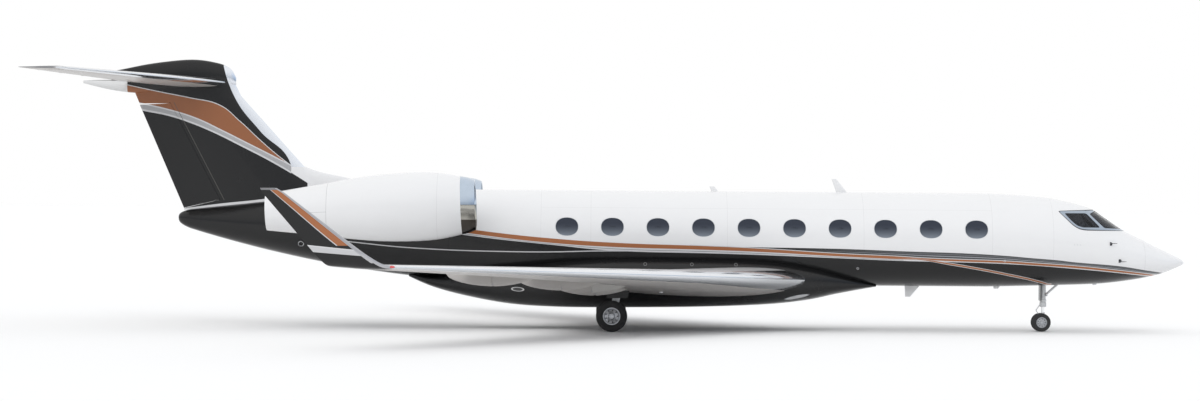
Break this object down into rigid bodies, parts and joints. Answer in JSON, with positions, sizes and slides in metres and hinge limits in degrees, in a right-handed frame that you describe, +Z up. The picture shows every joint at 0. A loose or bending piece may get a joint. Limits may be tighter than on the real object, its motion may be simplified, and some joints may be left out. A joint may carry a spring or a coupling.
{
  "type": "large-cabin twin-engine business jet",
  "caption": "Long-range business jet on its landing gear: T-tail, rear engines, swept wings with winglets, and a port airstair door.",
  "frame": {"origin": "on the ground, under the middle of the length and the span", "axes": "+X to the nose, +Y to the port side, +Z up"},
  "size_m": [33.065, 31.4156, 7.753],
  "materials": {
    "white_paint": "glossy white paint",
    "radome": "glossy white composite",
    "tail_white": "glossy white composite cone",
    "door_white": "glossy white paint over light alloy",
    "belly_grey": "dark glossy composite fairing",
    "polished_metal": "polished bare alloy",
    "glazing": "tinted glazing",
    "carpet": "carpeted floor panel",
    "lining": "satin interior lining",
    "panel_dark": "matt black instrument panel",
    "seat_leather": "tan leather",
    "wing_grey": "grey paint with a polished leading edge",
    "surface_grey": "grey painted composite",
    "dark_paint": "glossy charcoal paint",
    "nacelle_white": "glossy white composite cowl",
    "engine_metal": "bare engine metal",
    "gear_paint": "light grey enamel",
    "wheel_metal": "satin forged alloy",
    "tyre": "black aircraft tyre"
  },
  "bodies": {
    "airframe": {"nose_radome": "radome", "fuselage_nose": "white_paint", "fuselage_cabin": "white_paint", "fuselage_aft": "white_paint", "tail_cone": "tail_white", "belly_fairing": "belly_grey", "windshield_frame": "polished_metal", "windshield_glass": "glazing", "cabin_windows_left": "glazing", "cabin_windows_right": "glazing", "cabin_floor": "carpet", "cockpit_bulkhead": "lining", "instrument_panel": "panel_dark", "pilot_seat_left": "seat_leather", "pilot_seat_right": "seat_leather", "wing_left": "wing_grey", "wing_right": "wing_grey", "winglet_left": "dark_paint", "winglet_right": "dark_paint", "nacelle_left": "nacelle_white", "nacelle_right": "nacelle_white", "inlet_lip_left": "polished_metal", "inlet_lip_right": "polished_metal", "engine_core_left": "engine_metal", "engine_core_right": "engine_metal", "pylon_left": "nacelle_white", "pylon_right": "nacelle_white", "fin": "dark_paint", "stabilizer_left": "surface_grey", "stabilizer_right": "surface_grey", "nose_gear_leg": "gear_paint", "main_leg_left": "gear_paint", "main_leg_right": "gear_paint"},
    "airstair": {"airstair_door": "door_white"},
    "nose_strut": {"nose_gear_fork": "gear_paint"},
    "nose_wheels": {"nose_wheels_hubs": "wheel_metal", "nose_tyre_left": "tyre", "nose_tyre_right": "tyre"},
    "main_wheels_left": {"main_wheels_left_hubs": "wheel_metal", "main_tyre_left_inner": "tyre", "main_tyre_left_outer": "tyre"},
    "main_wheels_right": {"main_wheels_right_hubs": "wheel_metal", "main_tyre_right_inner": "tyre", "main_tyre_right_outer": "tyre"},
    "fan_rotor_left": {"fan_left": "engine_metal"},
    "fan_rotor_right": {"fan_right": "engine_metal"},
    "inner_flap_left": {"flap_inner_left": "surface_grey"},
    "inner_flap_right": {"flap_inner_right": "surface_grey"},
    "outer_flap_left": {"flap_outer_left": "surface_grey"},
    "outer_flap_right": {"flap_outer_right": "surface_grey"},
    "aileron_port": {"aileron_left": "surface_grey"},
    "aileron_starboard": {"aileron_right": "surface_grey"},
    "spoiler_port": {"spoilers_left": "surface_grey"},
    "spoiler_starboard": {"spoilers_right": "surface_grey"},
    "rudder_panel": {"rudder": "dark_paint"},
    "elevator_port": {"elevator_left": "surface_grey"},
    "elevator_starboard": {"elevator_right": "surface_grey"}
  },
  "joints": [
    {"name": "door", "type": "hinge", "parent": "airframe", "child": "airstair", "pos_m": [11.61, 1.04102, 1.805], "axis": [-0.9994, 0.035, 0], "range_deg": [0, 138]},
    {"name": "nose_steering", "type": "hinge", "parent": "airframe", "child": "nose_strut", "pos_m": [12.435, 0, 0.5], "axis": [0, 0, 1], "range_deg": [-75, 75]},
    {"name": "nose_axle", "type": "hinge", "parent": "nose_strut", "child": "nose_wheels", "pos_m": [12.375, 0, 0.267], "axis": [0, 1, 0], "continuous": true},
    {"name": "main_axle_left", "type": "hinge", "parent": "airframe", "child": "main_wheels_left", "pos_m": [-0.165, 2.2, 0.445], "axis": [0, 1, 0], "continuous": true},
    {"name": "main_axle_right", "type": "hinge", "parent": "airframe", "child": "main_wheels_right", "pos_m": [-0.165, -2.2, 0.445], "axis": [0, 1, 0], "continuous": true},
    {"name": "fan_spin_left", "type": "hinge", "parent": "airframe", "child": "fan_rotor_left", "pos_m": [-5.04412, 2.6, 3.53812], "axis": [-0.9991, 0, -0.0419], "continuous": true},
    {"name": "fan_spin_right", "type": "hinge", "parent": "airframe", "child": "fan_rotor_right", "pos_m": [-5.04412, -2.6, 3.53812], "axis": [-0.9991, 0, -0.0419], "continuous": true},
    {"name": "flaps", "type": "hinge", "parent": "airframe", "child": "inner_flap_left", "pos_m": [-0.61666, 3.15, 1.09222], "axis": [0.0883, -0.993, -0.0779], "range_deg": [0, 39]},
    {"name": "flap_inner_right_hinge", "type": "hinge", "parent": "airframe", "child": "inner_flap_right", "pos_m": [-0.61666, -3.15, 1.09222], "axis": [-0.0883, -0.993, 0.0779], "range_deg": [0, 39]},
    {"name": "flap_outer_left_hinge", "type": "hinge", "parent": "airframe", "child": "outer_flap_left", "pos_m": [-1.51958, 6, 1.3238], "axis": [0.4817, -0.8751, -0.0469], "range_deg": [0, 39]},
    {"name": "flap_outer_right_hinge", "type": "hinge", "parent": "airframe", "child": "outer_flap_right", "pos_m": [-1.51958, -6, 1.3238], "axis": [-0.4817, -0.8751, 0.0469], "range_deg": [0, 39]},
    {"name": "ailerons", "type": "hinge", "parent": "airframe", "child": "aileron_port", "pos_m": [-3.85439, 10.25, 1.84384], "axis": [0.4915, -0.8699, -0.0403], "range_deg": [-20, 20]},
    {"name": "aileron_right_hinge", "type": "hinge", "parent": "airframe", "child": "aileron_starboard", "pos_m": [-3.85439, -10.25, 1.84384], "axis": [-0.4915, -0.8699, 0.0403], "range_deg": [-20, 20]},
    {"name": "spoilers_left_hinge", "type": "hinge", "parent": "airframe", "child": "spoiler_port", "pos_m": [-0.50538, 5.65, 1.76197], "axis": [-0.5248, 0.8506, 0.0321], "range_deg": [0, 55]},
    {"name": "spoilers_right_hinge", "type": "hinge", "parent": "airframe", "child": "spoiler_starboard", "pos_m": [-0.50538, -5.65, 1.76197], "axis": [0.5248, 0.8506, -0.0321], "range_deg": [0, 55]},
    {"name": "rudder_hinge", "type": "hinge", "parent": "airframe", "child": "rudder_panel", "pos_m": [-11.615, 0, 3.66], "axis": [-0.465, 0, 0.8853], "range_deg": [-22, 22]},
    {"name": "elevators", "type": "hinge", "parent": "airframe", "child": "elevator_port", "pos_m": [-13.81187, 0.8, 7.11417], "axis": [-0.4711, 0.8815, 0.033], "range_deg": [-13, 24]},
    {"name": "elevator_right_hinge", "type": "hinge", "parent": "airframe", "child": "elevator_starboard", "pos_m": [-13.81187, -0.8, 7.11417], "axis": [0.4711, 0.8815, -0.033], "range_deg": [-13, 24]}
  ],
  "couplings": [
    {"joint": "flap_inner_right_hinge", "follows": "flaps", "ratio": 1},
    {"joint": "flap_outer_left_hinge", "follows": "flaps", "ratio": 1},
    {"joint": "flap_outer_right_hinge", "follows": "flaps", "ratio": 1},
    {"joint": "aileron_right_hinge", "follows": "ailerons", "ratio": -1},
    {"joint": "spoilers_right_hinge", "follows": "spoilers_left_hinge", "ratio": 1},
    {"joint": "elevator_right_hinge", "follows": "elevators", "ratio": 1}
  ]
}
